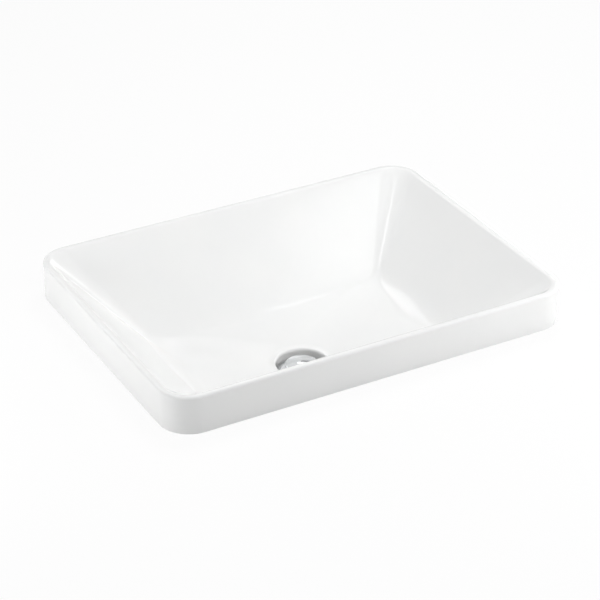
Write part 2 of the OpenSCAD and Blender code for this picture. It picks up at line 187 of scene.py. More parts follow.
def turnedBrass():
    # free-cutting brass straight from the lathe: warm, satin, with fine rings round its axis. The
    # real marks are 0.1 mm apart and are drawn at 0.35 mm so that they show.
    look = {"dark": "#b8934f", "light": "#d2ae66", "cloud": 9, "mark": 0.35, "depth": 0.008,
            "smooth": 0.2, "dull": 0.36}
    material, tree, shader, place = newMaterial("turned_brass", metallic=1.0)
    marks = latheMarks(tree, place, look["mark"])
    tint(tree, shader, noise(tree, place, look["cloud"]), look["dark"], look["light"])
    varyRoughness(tree, shader, marks, look["smooth"], look["dull"])
    raiseSurface(tree, shader, marks, look["depth"])
    return material


def mouldedRubber():
    # black rubber pressed in a bead-blasted mould: dull, with a fine grain and a greyish bloom
    look = {"dark": "#19191a", "light": "#2a2a2b", "bloom": 11, "roughness": 0.6, "grain": 0.5,
            "depth": 0.02}
    material, tree, shader, place = newMaterial("moulded_black_rubber", roughness=look["roughness"])
    tint(tree, shader, noise(tree, place, look["bloom"]), look["dark"], look["light"])
    raiseSurface(tree, shader, noise(tree, place, look["grain"], 3.0), look["depth"])
    return material


def closedCellFoam():
    # die-cut polyethylene foam: pale grey and matt, with cells of about 0.8 mm
    look = {"dark": "#b4b4af", "light": "#d3d3ce", "cell": 0.8, "roughness": 0.85, "depth": 0.12}
    material, tree, shader, place = newMaterial("closed_cell_foam", roughness=look["roughness"])
    settings = {"Scale": 1 / (look["cell"] * mm)}
    cells = addNode(tree, "ShaderNodeTexVoronoi", settings, Vector=place), "Distance"
    tint(tree, shader, cells, look["light"], look["dark"])
    raiseSurface(tree, shader, cells, -look["depth"])
    return material


def mouldedAcetal():
    # injection-moulded natural acetal: milky white and satin, with slow flow marks
    look = {"dark": "#dcdbd5", "light": "#e8e7e2", "flow": 8, "roughness": 0.38, "grain": 0.6,
            "depth": 0.006}
    material, tree, shader, place = newMaterial("moulded_natural_acetal",
                                                roughness=look["roughness"])
    tint(tree, shader, noise(tree, place, look["flow"]), look["dark"], look["light"])
    raiseSurface(tree, shader, noise(tree, place, look["grain"]), look["depth"])
    return material


def drawnSpringSteel():
    # stainless spring wire as it left the die: grey, with small bright and dull patches
    look = {"dark": "#85868a", "light": "#a3a4a7", "patch": 1.5, "smooth": 0.2, "dull": 0.38}
    material, tree, shader, place = newMaterial("drawn_spring_steel", metallic=1.0)
    patches = noise(tree, place, look["patch"])
    tint(tree, shader, patches, look["dark"], look["light"])
    varyRoughness(tree, shader, patches, look["smooth"], look["dull"])
    return material


# Meshes from grids. An outline that ends at the drain's axis stops at the pole's radius from it,
# and two radii are the same where they differ by less than the last value.

poleRadius, sameRadius = 0.2, 0.01


def closeGrid(grid, loop):
    # a grid of rows x columns x 3 as a closed mesh: the columns close on themselves, and the rows
    # do too if loop is set; otherwise each end row closes on a pole at its middle
    rows, columns = grid.shape[:2]
    index = np.arange(rows * columns).reshape(rows, columns)
    following = np.roll(index, -1, axis=1)
    quads = np.stack([index, np.roll(index, -1, axis=0), np.roll(following, -1, axis=0), following],
                     axis=-1)
    quads = (quads if loop else quads[:-1]).reshape(-1, 4)
    points = grid.reshape(-1, 3)
    triangles = np.zeros((0, 3), int)
    if not loop:
        first = np.stack([np.full(columns, len(points)), index[0], following[0]], axis=-1)
        last = np.stack([np.full(columns, len(points) + 1), following[-1], index[-1]], axis=-1)
        points = np.concatenate([points, [grid[0].mean(axis=0), grid[-1].mean(axis=0)]])
        triangles = np.concatenate([first, last])
    # the sign of the volume tells whether the faces point outwards
    corners = points[quads] - grid.reshape(-1, 3).mean(axis=0)
    volume = np.einsum("ij,ij->i", corners[:, 0], np.cross(corners[:, 1], corners[:, 2])).sum()
    volume += np.einsum("ij,ij->i", corners[:, 0], np.cross(corners[:, 2], corners[:, 3])).sum()
    if volume < 0:
        quads, triangles = quads[:, ::-1], triangles[:, ::-1]
    return points, quads, triangles


def makePiece(name, rings, body, node, material, tubes=(), sharpAngle=35):
    # one mesh that rides on a body and stands for a node, from rings, whose rows close on
    # themselves, and tubes, which close on a pole at each end
    points, quads, triangles, offset = [], [], [], 0
    for grid, loop in [(grid, True) for grid in rings] + [(grid, False) for grid in tubes]:
        partPoints, partQuads, partTriangles = closeGrid(grid, loop)
        points.append(partPoints)
        quads.append(partQuads + offset)
        triangles.append(partTriangles + offset)
        offset += len(partPoints)
    faces = np.concatenate(quads).tolist() + np.concatenate(triangles).tolist()
    mesh = bpy.data.meshes.new(name)
    mesh.from_pydata((np.concatenate(points) * mm).tolist(), [], faces)
    mesh.shade_smooth()
    mesh.set_sharp_from_angle(angle=math.radians(sharpAngle))
    piece = bpy.data.objects.new(name, mesh)
    bpy.context.scene.collection.objects.link(piece)
    piece.data.materials.append(material)
    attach(piece, body)
    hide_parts(node)
    return piece


def roundedSection(corners, steps=6, closed=True):
    # an outline of [radius, z, rounding] in which each corner is a quadratic curve, whose ends lie
    # at the rounding's distance from it, or at 45% of a shorter side; an open outline keeps its
    # two end points
    corners = np.asarray(corners, float)
    place, rounding = corners[:, :2], corners[:, 2]
    before, after = np.roll(place, 1, axis=0) - place, np.roll(place, -1, axis=0) - place
    start = place + before * np.minimum(rounding / np.linalg.norm(before, axis=1), 0.45)[:, None]
    end = place + after * np.minimum(rounding / np.linalg.norm(after, axis=1), 0.45)[:, None]
    t = np.linspace(0, 1, steps + 1)[None, :, None]
    curve = (1 - t) ** 2 * start[:, None] + 2 * t * (1 - t) * place[:, None] + t ** 2 * end[:, None]
    if closed:
        return curve.reshape(-1, 2)
    return np.concatenate([place[:1], curve[1:-1].reshape(-1, 2), place[-1:]])


def threadCut(z, angle, thread):
    # how far a right-handed thread cuts into its crest, faded in and out over one turn at its
    # ends: depth (1 - cos(2 pi z / pitch - angle)) / 2
    pitch = thread["pitch"]
    fade = smoothStep((z - thread["low"]) / pitch) * smoothStep((thread["high"] - z) / pitch)
    return fade * thread["depth"] * (1 - np.cos(2 * np.pi * z / pitch - angle)) / 2


def turnedGrid(section, columns=96, thread=None):
    # an outline turned round the drain's axis: (r cos a, y + r sin a, z). A thread cuts the points
    # that lie at its crest's radius.
    angle = np.arange(columns) / columns * 2 * np.pi
    radius, z = section[:, 0:1], section[:, 1:2]
    if thread:
        atCrest = np.abs(radius - thread["crest"]) < sameRadius
        radius = radius - np.where(atCrest, threadCut(z, angle, thread), 0)
    return np.stack([radius * np.cos(angle), drain["y"] + radius * np.sin(angle),
                     np.broadcast_to(z, (len(section), columns))], axis=-1)


def fineSteps(section, radius, low, high, step):
    # the outline with points added every step along its straight side at that radius
    z = section[:, 1]
    at = np.flatnonzero((np.abs(section[:, 0] - radius) < sameRadius) & (z < high) & (z > low))
    longest = at[np.argmax(np.abs(np.diff(z[at], append=z[at[-1]])))]
    first, last = z[longest], z[longest + 1]
    between = np.linspace(first, last, int(abs(last - first) / step) + 2)[1:-1]
    points = np.stack([np.full(len(between), radius), between], axis=-1)
    return np.insert(section, longest + 1, points, axis=0)


nut = {"edge": 0.4, "blunt": 0.3, "ease": 0.3, "slope": 0.6}


def nutGrid(flats, hole, low, high, edge=nut["edge"], columns=96):
    # a hexagon nut round the drain's axis: r = flats / 2 / cos(angle from the middle of its side),
    # less at the blunted corners, and outside the circle of the flats both faces fall away by
    # (r - flats / 2) tan 30. Each edge is rounded by two bevels.
    angle = np.arange(columns) / columns * 2 * np.pi
    fromSide = (angle % (np.pi / 3)) - np.pi / 6
    corner = flats / 2 / math.cos(math.pi / 6) - nut["blunt"]
    outer = np.minimum(flats / 2 / np.cos(fromSide), corner)
    fall = (outer - flats / 2) * math.tan(math.pi / 6)
    one, ease = np.ones(columns), edge * nut["ease"]
    half = [(hole * one, (high - edge) * one), ((hole + ease) * one, (high - ease) * one),
            ((hole + edge) * one, high * one), ((flats / 2 - edge) * one, high * one),
            (outer - edge, high - fall * nut["slope"]), (outer - ease, high - fall - ease),
            (outer, high - fall - edge)]
    radius = np.array([r for r, z in half] + [r for r, z in half[::-1]])
    z = np.array([z for r, z in half] + [low + high - z for r, z in half[::-1]])
    return np.stack([radius * np.cos(angle), drain["y"] + radius * np.sin(angle), z], axis=-1)


# The china basin

bowl = {
    "rimLength": 530, "rimDepth": 390, "rimHeight": 48, "cornerRadius": 39, "rimWidth": 8,
    "outerRound": 3, "innerRound": 3, "skirtWall": 11, "footRound": 1.4,
    "creaseDepth": 97, "floorLength": 326, "floorDepth": 172, "floorCorner": 8,
    "coveCorner": 12, "coveMiddle": 26, "shell": 12, "floorShell": 0.9, "underCove": 26,
    "channelRound": 12, "sideColumns": 16, "cornerColumns": 20, "endColumns": 20,
}
# how many rings each stretch of the surface has, from the recess up, over the rim and back below
ringCounts = {
    "recess": 8, "dish": 28, "cove": 14, "wall": 8, "rimEdge": 10, "foot": 6, "channel": 10,
    "underWall": 8, "underCove": 12, "underDish": 20, "boss": 6,
}
drain = {
    "y": -7.5, "lipDepth": 126, "recessRadius": 32, "recessDepth": 17, "lipRound": 5, "lipLevel": 2,
    "outletRadius": 23, "outletThick": 13, "outletSeam": 1, "edgeRound": 1.2, "bossRadius": 45,
    "bossFillet": 5, "bossDrop": 1, "bossRoot": 4, "bossEdge": 2,
}

lipZ = bowl["rimHeight"] - drain["lipDepth"]
seatZ = lipZ - drain["recessDepth"]
outletZ = seatZ - drain["outletThick"]
creaseZ = bowl["rimHeight"] - bowl["creaseDepth"]
wallRunX = bowl["rimLength"] / 2 - bowl["rimWidth"] - bowl["floorLength"] / 2
wallRunY = bowl["rimDepth"] / 2 - bowl["rimWidth"] - bowl["floorDepth"] / 2
shellX = bowl["shell"] / math.sin(math.atan(bowl["creaseDepth"] / wallRunX))
shellY = bowl["shell"] / math.sin(math.atan(bowl["creaseDepth"] / wallRunY))
apexShare = max((bowl["skirtWall"] - bowl["rimWidth"] + shellX) / wallRunX,
                (bowl["skirtWall"] - bowl["rimWidth"] + shellY) / wallRunY)
apexZ = bowl["rimHeight"] - apexShare * bowl["creaseDepth"]


# A ring of the basin's surface is [half length, half depth, corner radius, y of its centre, z]

def inset(distance, z):
    # the rim's outline drawn in by a distance
    return np.array([bowl["rimLength"] / 2 - distance, bowl["rimDepth"] / 2 - distance,
                     bowl["cornerRadius"] - distance, 0, z])


def wallRing(z, outX=0.0, outY=0.0):
    # the bowl's wall at height z, moved outwards by outX and outY
    share = (bowl["rimHeight"] - z) / bowl["creaseDepth"]
    topRadius = bowl["cornerRadius"] - bowl["rimWidth"]
    return np.array([bowl["rimLength"] / 2 - bowl["rimWidth"] - share * wallRunX + outX,
                     bowl["rimDepth"] / 2 - bowl["rimWidth"] - share * wallRunY + outY,
                     topRadius - share * (topRadius - bowl["floorCorner"]) + min(outX, outY), 0, z])


def circleRing(radius, z):
    return np.array([radius, radius, radius, drain["y"], z])


def dishRing(crease, circle, share):
    # the floor at a share of the way from its crease to the circle; its corner radius grows with
    # the share's square root, so the floor is one smooth dish
    share = np.asarray(share)[..., None]
    ring = crease + (circle - crease) * share
    radius = crease[2] + (ring[..., 1] - crease[2]) * np.sqrt(share[..., 0])
    ring[..., 2] = np.minimum(radius, np.minimum(ring[..., 0], ring[..., 1]))
    return ring


def toward(start, end, distance):
    # the ring at a distance from one ring on the way to another, in the section along the length
    run = math.hypot(end[0] - start[0], end[4] - start[4])
    return start + (end - start) * (np.asarray(distance)[..., None] / run)


def softTurn(start, corner, end, steps, skip=0):
    # rings of the quadratic curve (1-t)^2 start + 2t(1-t) corner + t^2 end
    t = np.linspace(0, 1, steps + 1)[skip:, None, None]
    return (1 - t) ** 2 * start + 2 * t * (1 - t) * corner + t ** 2 * end


def straight(start, end, steps):
    # rings strictly between two
    t = (np.arange(1, steps) / steps)[:, None, None]
    return start + (end - start) * t


def ringColumns():
    # each column's place in a quarter: 0 side, 1 corner or 2 end, with its share of that stretch,
    # and the signs that mirror the quarter round the ring
    counts = (bowl["sideColumns"], bowl["cornerColumns"], bowl["endColumns"])
    stretch = np.repeat([0, 1, 2], [counts[0], counts[1], counts[2] + 1])
    share = np.concatenate([np.arange(counts[0]) / counts[0], np.arange(counts[1]) / counts[1],
                            np.arange(counts[2] + 1) / counts[2]])
    order = np.arange(len(stretch))
    there, back = order[:-1], order[:0:-1]
    columns = np.concatenate([there, back, there, back])
    return (stretch[columns], share[columns], np.repeat([1, -1, -1, 1], len(there)),
            np.repeat([1, 1, -1, -1], len(there)))


def ringGrid(rings, toCircle, stretch, share, signX, signY, circleShare):
    # points of rings: along a quarter of a ring, l runs up the side, round the corner and along
    # the end, so x = a - r + r cos t - max(l - (b-r) - r pi/2, 0) and y = min(l, b-r) + r sin t,
    # where t = (l - (b-r)) / r between 0 and 90 degrees. A column's l follows its stretch of the
    # ring, or its even share of the quarter where the ring is a circle.
    a, b, r, centreY, z = np.moveaxis(rings, -1, 0)
    side, arc, end = b - r, r * np.pi / 2, a - r
    along = np.where(stretch == 0, share * side,
                     np.where(stretch == 1, side + share * arc, side + arc + share * end))
    along = (1 - toCircle) * along + toCircle * circleShare * (side + arc + end)
    t = np.clip((along - side) / r, 0, np.pi / 2)
    x = a - r + r * np.cos(t) - np.maximum(along - side - arc, 0)
    y = np.minimum(along, side) + r * np.sin(t)
    return np.stack([signX * x, centreY + signY * y, z + 0 * x], axis=-1)


def basinRings():
    # the whole surface as rings from the outlet up over the dish, the walls and the rim, down the
    # skirt and back under the shell to the outlet, with a name for each ring
    stretch, share, signX, signY = ringColumns()
    count = len(stretch)
    rim, foot, edgeRound = bowl["rimHeight"], bowl["footRound"], drain["edgeRound"]
    crease, edge = wallRing(creaseZ), wallRing(rim)
    lip = circleRing(drain["recessRadius"] + drain["lipRound"] + drain["lipLevel"], lipZ)
    # a column's even share of a quarter of the drain's circle is its direction on the crease
    creaseSide, creaseEnd, corner = crease[1] - crease[2], crease[0] - crease[2], share * np.pi / 2
    quarterX = np.select([stretch == 0, stretch == 1],
                         [crease[0] + 0 * share, creaseEnd + crease[2] * np.cos(corner)],
                         creaseEnd * (1 - share))
    quarterY = np.select([stretch == 0, stretch == 1],
                         [share * creaseSide, creaseSide + crease[2] * np.sin(corner)], crease[1])
    circleShare = np.arctan2(quarterY, quarterX) / (np.pi / 2)
    # the cove is tight in the corners of the floor and soft in the middle of each side
    middle = np.select([stretch == 0, stretch == 2], [1 - share, share], 0)
    cove = bowl["coveCorner"] + (bowl["coveMiddle"] - bowl["coveCorner"]) * smoothStep(middle)

    rows, circles, names = [], [], []

    def add(rings, circle, name):
        rings = np.asarray(rings, float)
        rings = rings[:, None, :] if rings.ndim == 2 else rings
        rows.append(np.broadcast_to(rings, (len(rings), count, 5)))
        circles.append(np.broadcast_to(np.asarray(circle, float), (len(rings),)))
        names.extend([name] * len(rings))

    # the recess, from the middle of the outlet up to the lip, then the dish
    recess = roundedSection([[drain["outletRadius"], (outletZ + seatZ) / 2, 0],
                             [drain["outletRadius"], seatZ, edgeRound],
                             [drain["recessRadius"], seatZ, edgeRound],
                             [drain["recessRadius"], lipZ, drain["lipRound"]],
                             [lip[0], lipZ, 0]], ringCounts["recess"], closed=False)
    add([circleRing(r, z) for r, z in recess[:-1]], 1, "bowl")
    coveShare = cove / math.hypot(crease[0] - lip[0], crease[4] - lip[4])
    down = (np.arange(ringCounts["dish"]) / ringCounts["dish"])[:, None]
    add(dishRing(crease, lip, 1 + (coveShare[None, :] - 1) * down), smoothStep(1 - down[:, 0]),
        "bowl")
    wallStart = toward(crease, edge, cove)
    wallEnd = toward(edge, crease, np.array(bowl["innerRound"]))
    dish = dishRing(crease, lip, coveShare)
    add(softTurn(dish, crease, wallStart, ringCounts["cove"]), 0, "bowl")
    add(straight(wallStart, wallEnd, ringCounts["wall"]), 0, "bowl")
    # the rim's inner and outer edges, the skirt and its foot
    rimFlat = inset(bowl["rimWidth"] - bowl["innerRound"], rim)
    add(softTurn(wallEnd[None], edge, rimFlat, ringCounts["rimEdge"]), 0, "rim")
    add([inset(bowl["outerRound"] * (1 - math.sin(t)), rim - bowl["outerRound"] * (1 - math.cos(t)))
         for t in np.linspace(0, np.pi / 2, ringCounts["rimEdge"] + 1)], 0, "rim")
    add([inset(0, rim / 2)], 0, "skirt")
    add(softTurn(inset(0, foot), inset(0, 0), inset(foot, 0), ringCounts["foot"]), 0, "skirt")
    add([inset(bowl["skirtWall"] - foot, 0)], 0, "foot")
    add(softTurn(inset(bowl["skirtWall"] - foot, 0), inset(bowl["skirtWall"], 0),
                 inset(bowl["skirtWall"], foot), ringCounts["foot"], skip=1), 0, "under")
    # the channel under the rim, the shell's underside and the boss
    channel = bowl["channelRound"]
    underCrease = wallRing(creaseZ - bowl["floorShell"] * bowl["shell"], shellX, shellY)
    underTop = wallRing(apexZ - channel, shellX, shellY)
    boss = circleRing(drain["bossRadius"] + drain["bossFillet"], lipZ - bowl["shell"])
    add(softTurn(inset(bowl["skirtWall"], apexZ - channel), inset(bowl["skirtWall"], apexZ),
                 underTop, ringCounts["channel"]), 0, "under")
    underWall = toward(underCrease, underTop, np.array(bowl["underCove"]))
    underShare = bowl["underCove"] / math.hypot(underCrease[0] - boss[0], underCrease[4] - boss[4])
    add(straight(underTop, underWall[None], ringCounts["underWall"]), 0, "under")
    underDish = dishRing(underCrease, boss, np.full(count, underShare))
    add(softTurn(underWall[None], underCrease, underDish, ringCounts["underCove"]), 0, "under")
    inward = (np.arange(1, ringCounts["underDish"] + 1) / ringCounts["underDish"])[:, None]
    add(dishRing(underCrease, boss, underShare + (1 - underShare) * inward * np.ones(count)),
        smoothStep(inward[:, 0]), "under")
    seamZ = (outletZ + seatZ) / 2 - drain["outletSeam"]
    rootZ = boss[4] - drain["bossDrop"]
    bossSection = roundedSection([[boss[0], boss[4], 0],
                                  [drain["bossRadius"], rootZ, drain["bossRoot"]],
                                  [drain["bossRadius"], outletZ, drain["bossEdge"]],
                                  [drain["outletRadius"], outletZ, edgeRound],
                                  [drain["outletRadius"], seamZ, 0]],
                                 ringCounts["boss"], closed=False)
    add([circleRing(r, z) for r, z in bossSection[1:]], 1, "under")

    grid = ringGrid(np.concatenate(rows), np.concatenate(circles)[:, None], stretch, share,
                    signX, signY, circleShare[None, :])
    return grid, np.array(names)


chinaGlaze, chinaFoot = glazedChina(), bareChina()
basinGrid, basinRows = basinRings()
basin = makePiece("china_basin", [basinGrid], "fixed_basin", "basin", chinaGlaze)
basin.data.materials.append(chinaFoot)
isFoot = np.repeat(basinRows == "foot", basinGrid.shape[1])
basin.data.polygons.foreach_set("material_index", isFoot.astype(np.int32))
print("China basin:", basinGrid.shape)


# The waste: flange, threaded shank and the hub on its three arms

waste = {
    "flangeRadius": 31, "flangeThick": 3.5, "flangeFlat": 3, "flangeEdge": 1, "dish": 2,
    "dishMargin": 2, "dishFall": 0.25, "throatRadius": 19.3, "throatHeight": 2.2,
    "throatCone": 3.8, "boreRadius": 17.5, "bodyLength": 71.5, "threadRadius": 20.955,
    "shankRadius": 20.4, "threadPitch": 2.309, "threadDepth": 1.3, "threadGap": 1,
    "tailChamfer": 1, "grooveWidth": 1.5, "grooveDepth": 0.7, "armThick": 4, "armHeight": 8,
    "armCount": 3, "armRound": 1.2, "armSink": 0.6, "armFlare": 0.35, "armSteps": 17,
    "washerThick": 1.5, "washerRadius": 30, "taperThick": 9, "taperRadius": 30, "taperCollar": 4,
    "slipThick": 2, "nutThick": 9, "nutFlats": 50, "nutEdge": 0.6,
}
cartridge = {
    "barrelRadius": 8, "barrelBore": 6.5, "barrelLength": 40, "barrelChamfer": 0.7,
    "barrelPitch": 1.0, "barrelDepth": 0.5, "threadGap": 0.5, "collarRadius": 10.5,
    "collarThick": 3, "hubRadius": 11.5, "hubHeight": 12, "lockFlats": 22, "lockThick": 5,
    "bushLength": 7, "bushRim": 1.5, "bushRimRadius": 9, "capInside": 3, "capRim": 2.5,
    "weepRadius": 1.5,
}
coil = {
    "wireRadius": 0.5, "radius": 4.9, "turns": 8, "closedTurns": 0.6, "openingTurns": 0.8,
    "closedPitch": 2.04, "stepsPerTurn": 40, "wireSides": 14, "squashKeep": 0.543,
}
plug = {
    "travel": 9, "capRadius": 21, "capEdge": 2.2, "capAbove": 1, "capHollow": 1.4,
    "socketRadius": 5.5, "domeRise": 3.2, "domeInset": 0.6, "domeStart": 2.6, "domeStartRise": 0.78,
    "domeRings": 24, "sealThick": 2.5, "sealTaper": 0.8, "retainerThick": 2,
    "retainerRadius": 12.5, "nutThick": 4, "nutFlats": 13, "nutStop": 2, "stemRadius": 4,
    "headHeight": 5, "spigotRadius": 3, "spigotPast": 1, "rotorHeight": 4.4,
}
threadClear, runClear, freeClear = 0.09, 0.05, 0.3

flangeUnderZ = seatZ + waste["washerThick"]
flangeZ = flangeUnderZ + waste["flangeThick"]
dishZ = flangeZ - waste["dish"]
throatZ = dishZ - waste["throatHeight"]
tailZ = flangeUnderZ - waste["bodyLength"]
taperZ = outletZ - waste["taperThick"]
slipZ = taperZ - waste["slipThick"]
backNutZ = slipZ - waste["nutThick"]
grooveZ = backNutZ - freeClear
threadTopZ = outletZ - waste["threadGap"]
capZ = dishZ + plug["capAbove"] + plug["travel"]
sealZ = capZ - plug["sealThick"]
retainerZ = sealZ - plug["retainerThick"]
stemNutZ = retainerZ - plug["nutThick"]
stemTopZ = capZ + plug["capHollow"]
bushTopZ = stemNutZ - plug["travel"] - plug["nutStop"]
barrelZ = bushTopZ - cartridge["bushRim"]
hubZ = barrelZ - cartridge["collarThick"]
hubUnderZ = hubZ - cartridge["hubHeight"]
bushZ = barrelZ - cartridge["bushLength"]
barrelEndZ = barrelZ - cartridge["barrelLength"]
springSeatZ = barrelEndZ + cartridge["capInside"]
headZ = bushZ - freeClear
headUnderZ = headZ - plug["headHeight"]
springTopZ = headUnderZ - 2 * freeClear - plug["rotorHeight"]
threadRing = waste["threadRadius"] + threadClear
slideRadius = cartridge["barrelBore"] - runClear

chrome, brass, rubber = chromePlate(), turnedBrass(), mouldedRubber()
foam, acetal, springSteel = closedCellFoam(), mouldedAcetal(), drawnSpringSteel()


wasteThread = {"crest": waste["threadRadius"], "pitch": waste["threadPitch"],
               "depth": waste["threadDepth"], "low": tailZ + waste["tailChamfer"],
               "high": threadTopZ}


# In each outline below, the third number of a corner is its rounding

def wasteSection():
    # from the tail up the threads, out over the flange's edge, and down the dish to the bore
    crest, shank, bore = waste["threadRadius"], waste["shankRadius"], waste["boreRadius"]
    flange, throat = waste["flangeRadius"], waste["throatRadius"]
    groove, grooveUnderZ = crest - waste["grooveDepth"], grooveZ - waste["grooveWidth"]
    section = roundedSection([
        [bore, tailZ, 0.3], [crest - waste["tailChamfer"], tailZ, 0.3],
        [crest, tailZ + waste["tailChamfer"], 0.3], [crest, grooveUnderZ, 0.15],
        [groove, grooveUnderZ, 0.2], [groove, grooveZ, 0.2], [crest, grooveZ, 0.15],
        [crest, threadTopZ, 0.2], [shank, threadTopZ + crest - shank, 0.3],
        [shank, flangeUnderZ, 0.5], [flange, flangeUnderZ, 0.4],
        [flange, flangeZ, waste["flangeEdge"]],
        [flange - waste["flangeFlat"] - waste["flangeEdge"], flangeZ, 2],
        [throat + waste["dishMargin"], dishZ + waste["dishFall"], 2], [throat, dishZ, 0.6],
        [throat, throatZ, 0.3], [bore, throatZ - waste["throatCone"], 1]])
    step = waste["threadPitch"] / 8
    section = fineSteps(section, crest, tailZ, grooveUnderZ, step)
    return fineSteps(section, crest, grooveZ, threadTopZ, step)


def armGrid(direction):
    # one arm between the hub and the wall, sunk a little into both: a rounded rectangle that
    # widens at both roots as 1 + flare (2s - 1)^6, with s from 0 at the hub to 1 at the wall
    s = np.linspace(0, 1, waste["armSteps"])[:, None]
    hub, sink, soft = cartridge["hubRadius"], waste["armSink"], waste["armRound"]
    reach = hub - sink + s * (waste["boreRadius"] - hub + 2 * sink)
    width, height = waste["armThick"] / 2, waste["armHeight"] / 2
    outline = roundedSection([[-width, -height, soft], [width, -height, soft],
                              [width, height, soft], [-width, height, soft]])
    flare = 1 + waste["armFlare"] * (2 * s - 1) ** 6
    across, up = flare * outline[:, 0], (hubZ + hubUnderZ) / 2 + flare * outline[:, 1]
    x = reach * math.cos(direction) - across * math.sin(direction)
    y = drain["y"] + reach * math.sin(direction) + across * math.cos(direction)
    return np.stack([x, y, up], axis=-1)


def hubGrid():
    hole, outer = cartridge["barrelRadius"] + threadClear, cartridge["hubRadius"]
    section = roundedSection([[hole, hubUnderZ, 0.4], [outer, hubUnderZ, 1], [outer, hubZ, 1],
                              [hole, hubZ, 0.4]])
    return turnedGrid(section)


armTurns = [math.pi / 2 + 2 * math.pi * i / waste["armCount"] for i in range(waste["armCount"])]
wasteGrid = turnedGrid(wasteSection(), columns=144, thread=wasteThread)
makePiece("chrome_waste_body", [wasteGrid, hubGrid()], "fixed_basin", "waste_body",
          chrome, tubes=[armGrid(turn) for turn in armTurns])
print("Chrome waste body:", wasteGrid.shape)


# Washers and nut under the basin

makePiece("foam_flange_washer", [turnedGrid(roundedSection([
    [waste["shankRadius"] + freeClear, seatZ, 0.2], [waste["washerRadius"], seatZ, 0.4],
    [waste["washerRadius"], flangeUnderZ, 0.4],
    [waste["shankRadius"] + freeClear, flangeUnderZ, 0.2]]))],
    "fixed_basin", "flange_washer", foam)
makePiece("rubber_tapered_washer", [turnedGrid(roundedSection([
    [threadRing, taperZ, 0.5], [waste["taperRadius"] - waste["taperThick"] / 3, taperZ, 1],
    [waste["taperRadius"], outletZ - waste["taperThick"] / 2, 1.5],
    [waste["taperRadius"], outletZ, 0.6],
    [drain["outletRadius"] - freeClear, outletZ, 0.3],
    [drain["outletRadius"] - 3 * freeClear, outletZ + waste["taperCollar"], 0.5],
    [threadRing, outletZ + waste["taperCollar"], 0.3]]), columns=128)],
    "fixed_basin", "tapered_washer", rubber)
makePiece("acetal_slip_washer", [turnedGrid(roundedSection([
    [threadRing + freeClear, slipZ, 0.3], [waste["taperRadius"], slipZ, 0.5],
    [waste["taperRadius"], taperZ, 0.5], [threadRing + freeClear, taperZ, 0.3]]), columns=128)],
    "fixed_basin", "slip_washer", acetal)
makePiece("brass_back_nut", [nutGrid(waste["nutFlats"], threadRing, backNutZ, slipZ,
                                     edge=waste["nutEdge"], columns=192)],
          "fixed_basin", "back_nut", brass)
print("Washers and back nut made")


# The push cartridge

def barrelSection():
    # from the bottom end up the thread, round the collar that rests on the hub, to the bore
    outer, bore = cartridge["barrelRadius"], cartridge["barrelBore"]
    collar, chamfer = cartridge["collarRadius"], cartridge["barrelChamfer"]
    section = roundedSection([
        [bore, barrelEndZ, 0.2], [outer - chamfer, barrelEndZ, 0.2],
        [outer, barrelEndZ + chamfer, 0.3], [outer, hubZ, 0.2], [collar, hubZ, 0.3],
        [collar, barrelZ, 0.6], [bore, barrelZ, 0.4]], steps=5)
    return fineSteps(section, outer, barrelEndZ, hubZ, cartridge["barrelPitch"] / 6)


barrelThread = {"crest": cartridge["barrelRadius"], "pitch": cartridge["barrelPitch"],
                "depth": cartridge["barrelDepth"], "low": barrelEndZ + cartridge["barrelChamfer"],
                "high": hubZ - cartridge["threadGap"]}
makePiece("brass_cartridge_barrel",
          [turnedGrid(barrelSection(), columns=72, thread=barrelThread)],
          "fixed_basin", "cartridge_barrel", brass)
makePiece("acetal_barrel_bush", [turnedGrid(roundedSection([
    [plug["stemRadius"] + runClear, bushZ, 0.3], [slideRadius, bushZ, 0.4],
    [slideRadius, barrelZ, 0.1],
    [cartridge["bushRimRadius"], barrelZ, 0.3], [cartridge["bushRimRadius"], bushTopZ, 0.5],
    [plug["stemRadius"] + runClear, bushTopZ, 0.4]], steps=5), columns=72)],
    "fixed_basin", "barrel_bush", acetal)
makePiece("acetal_end_cap", [turnedGrid(roundedSection([
    [cartridge["weepRadius"], barrelEndZ - cartridge["capRim"], 0.2],
    [cartridge["barrelRadius"], barrelEndZ - cartridge["capRim"], 0.6],
    [cartridge["barrelRadius"], barrelEndZ, 0.2], [slideRadius, barrelEndZ, 0.1],
    [slideRadius, springSeatZ, 0.4], [cartridge["weepRadius"], springSeatZ, 0.2]], steps=5),
    columns=72)],
    "fixed_basin", "barrel_end_cap", acetal)
lockHole = cartridge["barrelRadius"] + threadClear
makePiece("brass_lock_nut", [nutGrid(cartridge["lockFlats"], lockHole,
                                     hubUnderZ - cartridge["lockThick"], hubUnderZ)],
          "fixed_basin", "cartridge_lock_nut", brass)


def springGrid():
    # a helix of round wire with closed ends: a turn rises by the wire's width at both ends and by
    # an even pitch between them, so z = the sum of the pitch along the turns
    turns, steps, sides = coil["turns"], coil["stepsPerTurn"], coil["wireSides"]
    closed, opening = coil["closedTurns"], coil["openingTurns"]
    around = 2 * np.pi * np.arange(sides) / sides
    along = np.linspace(0, turns, turns * steps + 1)
    active = smoothStep((along - closed) / opening) * smoothStep((turns - closed - along) / opening)
    low, high = springSeatZ + coil["wireRadius"], springTopZ - coil["wireRadius"]
    wire = coil["closedPitch"] * coil["wireRadius"]
    activeSum = np.append(0, np.cumsum((active[1:] + active[:-1]) / 2)) / steps
    z = low + along * wire + activeSum * (high - low - turns * wire) / activeSum[-1]
    angle = along[:, None] * 2 * np.pi
    radius = coil["radius"] + coil["wireRadius"] * np.cos(around)
    return np.stack([radius * np.cos(angle), drain["y"] + radius * np.sin(angle),
                     z[:, None] + coil["wireRadius"] * np.sin(around)], axis=-1)


